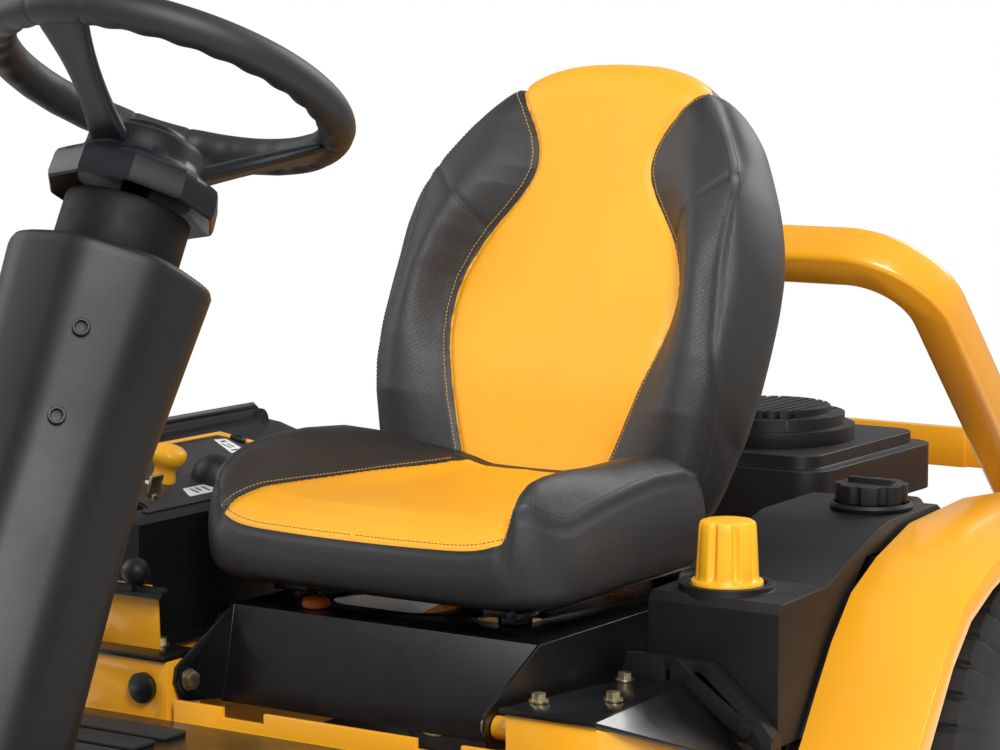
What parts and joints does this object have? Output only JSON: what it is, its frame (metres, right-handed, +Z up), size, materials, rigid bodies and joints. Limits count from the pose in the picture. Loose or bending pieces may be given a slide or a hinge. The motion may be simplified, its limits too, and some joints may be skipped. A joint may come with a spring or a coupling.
{
  "type": "zero turn mower",
  "caption": "Ride-on zero turn mower with a high-back seat, steering wheel, side consoles, rear engine and a belly deck with a side chute.",
  "frame": {"origin": "centre of the bounding box's footprint on the ground plane", "axes": "+Z up, -Y is the direction the machine drives forwards, +X is the operator's left"},
  "size_m": [1.583, 2.095, 1.1811],
  "materials": {
    "yellow_paint": "gloss",
    "black_plastic": "satin",
    "black_metal": "gloss",
    "dark_metal": "satin",
    "tyre_rubber": "matte",
    "tyre_rubber_mat": "matte",
    "yellow_plastic": "satin",
    "vinyl": "satin",
    "zinc": "satin",
    "cast_aluminium": "satin",
    "grip": "matte",
    "grey_panel": "satin",
    "grey_plastic": "satin"
  },
  "bodies": {
    "chassis": {"frame_rails": "yellow_paint", "front_axle_beam": "black_metal", "column_tube": "black_metal", "column_cover": "black_plastic", "footplate": "black_metal", "foot_mat": "tyre_rubber_mat", "side_towers": "yellow_paint", "tower_plates": "black_metal", "front_panel": "yellow_paint", "fender_left": "yellow_paint", "fender_right": "yellow_paint", "console_right": "black_plastic", "console_panel": "grey_panel", "fuel_tank": "black_plastic", "tank_bracket": "black_plastic", "engine_block": "cast_aluminium", "engine_shroud": "grey_plastic", "blower_dome": "black_plastic", "rear_hoop": "yellow_paint", "rear_guard": "yellow_paint", "hydro_drives": "cast_aluminium", "hex_bolts": "zinc"},
    "pan": {"seat_pan": "black_metal", "seat_rails": "black_metal"},
    "seat": {"seat_base": "black_plastic", "seat_cushion": "vinyl", "seat_back": "vinyl"},
    "slide_lever": {"slide_lever": "black_metal"},
    "steering": {"steering_rim": "grip", "steering_hub": "black_plastic"},
    "steering_arm": {"steering_arm": "black_metal"},
    "tie_rod": {"tie_rod": "zinc"},
    "spindle_left": {"spindle_left": "black_metal"},
    "spindle_right": {"spindle_right": "black_metal"},
    "front_wheel_left": {"front_tyre_left": "tyre_rubber", "front_rim_left": "yellow_paint"},
    "front_wheel_right": {"front_tyre_right": "tyre_rubber", "front_rim_right": "yellow_paint"},
    "rear_wheel_left": {"rear_tyre_left": "tyre_rubber", "rear_rim_left": "yellow_paint"},
    "rear_wheel_right": {"rear_tyre_right": "tyre_rubber", "rear_rim_right": "yellow_paint"},
    "deck": {"deck_shell": "black_metal", "deck_belt": "tyre_rubber_mat"},
    "blade_left": {"blade_left": "dark_metal"},
    "blade_centre": {"blade_centre": "dark_metal"},
    "blade_right": {"blade_right": "dark_metal"},
    "chute_deflector": {"chute_deflector": "black_plastic"},
    "deck_wheel_left": {"deck_wheel_left": "black_plastic"},
    "deck_wheel_right": {"deck_wheel_right": "black_plastic"},
    "forward_pedal": {"forward_pedal": "black_metal"},
    "reverse_pedal": {"reverse_pedal": "black_metal"},
    "brake_pedal": {"brake_pedal": "black_metal"},
    "lift_pedal": {"lift_pedal": "black_metal"},
    "pto_knob": {"pto_knob": "yellow_plastic"},
    "throttle_lever": {"throttle_lever": "black_plastic"},
    "ignition_key": {"ignition_key": "zinc"},
    "height_dial": {"height_dial": "yellow_plastic"},
    "brake_lever": {"brake_lever": "black_plastic"},
    "fuel_cap": {"fuel_cap": "black_plastic"}
  },
  "joints": [
    {"name": "steering_turn", "type": "hinge", "parent": "chassis", "child": "steering", "pos_m": [0.1385, -0.5605, 1.079], "axis": [0, 0.454, 0.891], "range_deg": [-150, 150]},
    {"name": "steering_arm_turn", "type": "hinge", "parent": "chassis", "child": "steering_arm", "pos_m": [0.1385, -0.8125, 0.22], "axis": [0, 0, 1], "range_deg": [-65, 65]},
    {"name": "kingpin_left", "type": "hinge", "parent": "chassis", "child": "spindle_left", "pos_m": [0.5385, -0.8125, 0.22], "axis": [0, 0, 1], "range_deg": [-65, 65]},
    {"name": "kingpin_right", "type": "hinge", "parent": "chassis", "child": "spindle_right", "pos_m": [-0.2615, -0.8125, 0.22], "axis": [0, 0, 1], "range_deg": [-65, 65]},
    {"name": "tie_rod_pivot", "type": "hinge", "parent": "steering_arm", "child": "tie_rod", "pos_m": [0.1385, -0.7025, 0.206], "axis": [0, 0, 1], "range_deg": [-65, 65]},
    {"name": "front_wheel_left_spin", "type": "hinge", "parent": "spindle_left", "child": "front_wheel_left", "pos_m": [0.6655, -0.8125, 0.165], "axis": [1, 0, 0], "continuous": true},
    {"name": "front_wheel_right_spin", "type": "hinge", "parent": "spindle_right", "child": "front_wheel_right", "pos_m": [-0.3885, -0.8125, 0.165], "axis": [1, 0, 0], "continuous": true},
    {"name": "rear_wheel_left_spin", "type": "hinge", "parent": "chassis", "child": "rear_wheel_left", "pos_m": [0.5825, 0.4275, 0.254], "axis": [1, 0, 0], "continuous": true},
    {"name": "rear_wheel_right_spin", "type": "hinge", "parent": "chassis", "child": "rear_wheel_right", "pos_m": [-0.3055, 0.4275, 0.254], "axis": [1, 0, 0], "continuous": true},
    {"name": "seat_pan_tilt", "type": "hinge", "parent": "chassis", "child": "pan", "pos_m": [0.1565, -0.3005, 0.38], "axis": [1, 0, 0], "range_deg": [0, 35]},
    {"name": "seat_slide", "type": "slide", "parent": "pan", "child": "seat", "axis": [0, 1, 0], "range_m": [-0.04, 0.03]},
    {"name": "seat_slide_lever_turn", "type": "hinge", "parent": "seat", "child": "slide_lever", "pos_m": [0.3365, -0.0445, 0.483], "axis": [0, 0, 1], "range_deg": [0, 12], "stiffness_Nm_per_rad": 2},
    {"name": "deck_lift", "type": "slide", "parent": "chassis", "child": "deck", "axis": [0, 0, 1], "range_m": [-0.02, 0.05]},
    {"name": "blade_left_spin", "type": "hinge", "parent": "deck", "child": "blade_left", "pos_m": [0.5635, -0.1825, 0.1], "axis": [0, 0, 1], "continuous": true},
    {"name": "blade_centre_spin", "type": "hinge", "parent": "deck", "child": "blade_centre", "pos_m": [0.1385, -0.2725, 0.1], "axis": [0, 0, 1], "continuous": true},
    {"name": "blade_right_spin", "type": "hinge", "parent": "deck", "child": "blade_right", "pos_m": [-0.2865, -0.1825, 0.1], "axis": [0, 0, 1], "continuous": true},
    {"name": "chute_turn", "type": "hinge", "parent": "deck", "child": "chute_deflector", "pos_m": [-0.5375, -0.1825, 0.168], "axis": [0, 1, 0], "range_deg": [0, 80]},
    {"name": "deck_wheel_left_spin", "type": "hinge", "parent": "deck", "child": "deck_wheel_left", "pos_m": [0.3745, -0.5625, 0.118], "axis": [1, 0, 0], "continuous": true},
    {"name": "deck_wheel_right_spin", "type": "hinge", "parent": "deck", "child": "deck_wheel_right", "pos_m": [-0.0975, -0.5625, 0.118], "axis": [1, 0, 0], "continuous": true},
    {"name": "forward_pedal_press", "type": "hinge", "parent": "chassis", "child": "forward_pedal", "pos_m": [-0.1215, -0.8325, 0.356], "axis": [1, 0, 0], "range_deg": [0, 14], "stiffness_Nm_per_rad": 8},
    {"name": "reverse_pedal_press", "type": "hinge", "parent": "chassis", "child": "reverse_pedal", "pos_m": [-0.039, -0.8225, 0.356], "axis": [1, 0, 0], "range_deg": [0, 14], "stiffness_Nm_per_rad": 8},
    {"name": "brake_pedal_press", "type": "hinge", "parent": "chassis", "child": "brake_pedal", "pos_m": [0.3785, -0.8325, 0.356], "axis": [1, 0, 0], "range_deg": [0, 14], "stiffness_Nm_per_rad": 10},
    {"name": "lift_pedal_press", "type": "hinge", "parent": "chassis", "child": "lift_pedal", "pos_m": [-0.1755, -0.8225, 0.356], "axis": [1, 0, 0], "range_deg": [-8, 20]},
    {"name": "pto_pull", "type": "slide", "parent": "chassis", "child": "pto_knob", "axis": [0.2773, 0, 0.9608], "range_m": [0, 0.014]},
    {"name": "throttle_swing", "type": "hinge", "parent": "chassis", "child": "throttle_lever", "pos_m": [-0.2745, -0.2025, 0.56], "axis": [1, 0, 0], "range_deg": [-20, 20]},
    {"name": "key_turn", "type": "hinge", "parent": "chassis", "child": "ignition_key", "pos_m": [-0.2065, -0.1825, 0.56], "axis": [0.2773, 0, 0.9608], "range_deg": [0, 60]},
    {"name": "height_dial_turn", "type": "hinge", "parent": "chassis", "child": "height_dial", "pos_m": [0.4785, 0.0225, 0.5], "axis": [0, 0, 1], "range_deg": [0, 300]},
    {"name": "park_brake_swing", "type": "hinge", "parent": "chassis", "child": "brake_lever", "pos_m": [-0.1835, -0.3125, 0.48], "axis": [0, 1, 0], "range_deg": [-25, 0]},
    {"name": "fuel_cap_turn", "type": "hinge", "parent": "chassis", "child": "fuel_cap", "pos_m": [0.5215, 0.3025, 0.56], "axis": [0, 0, 1], "range_deg": [0, 120]}
  ],
  "couplings": [
    {"joint": "steering_arm_turn", "follows": "steering_turn", "ratio": 0.42857},
    {"joint": "kingpin_left", "follows": "steering_turn", "ratio": 0.42857},
    {"joint": "kingpin_right", "follows": "steering_turn", "ratio": 0.42857},
    {"joint": "tie_rod_pivot", "follows": "steering_turn", "ratio": -0.42857},
    {"joint": "lift_pedal_press", "follows": "deck_lift", "rad_per_m": 6.9},
    {"joint": "blade_left_spin", "follows": "blade_centre_spin", "ratio": 1},
    {"joint": "blade_right_spin", "follows": "blade_centre_spin", "ratio": 1}
  ]
}
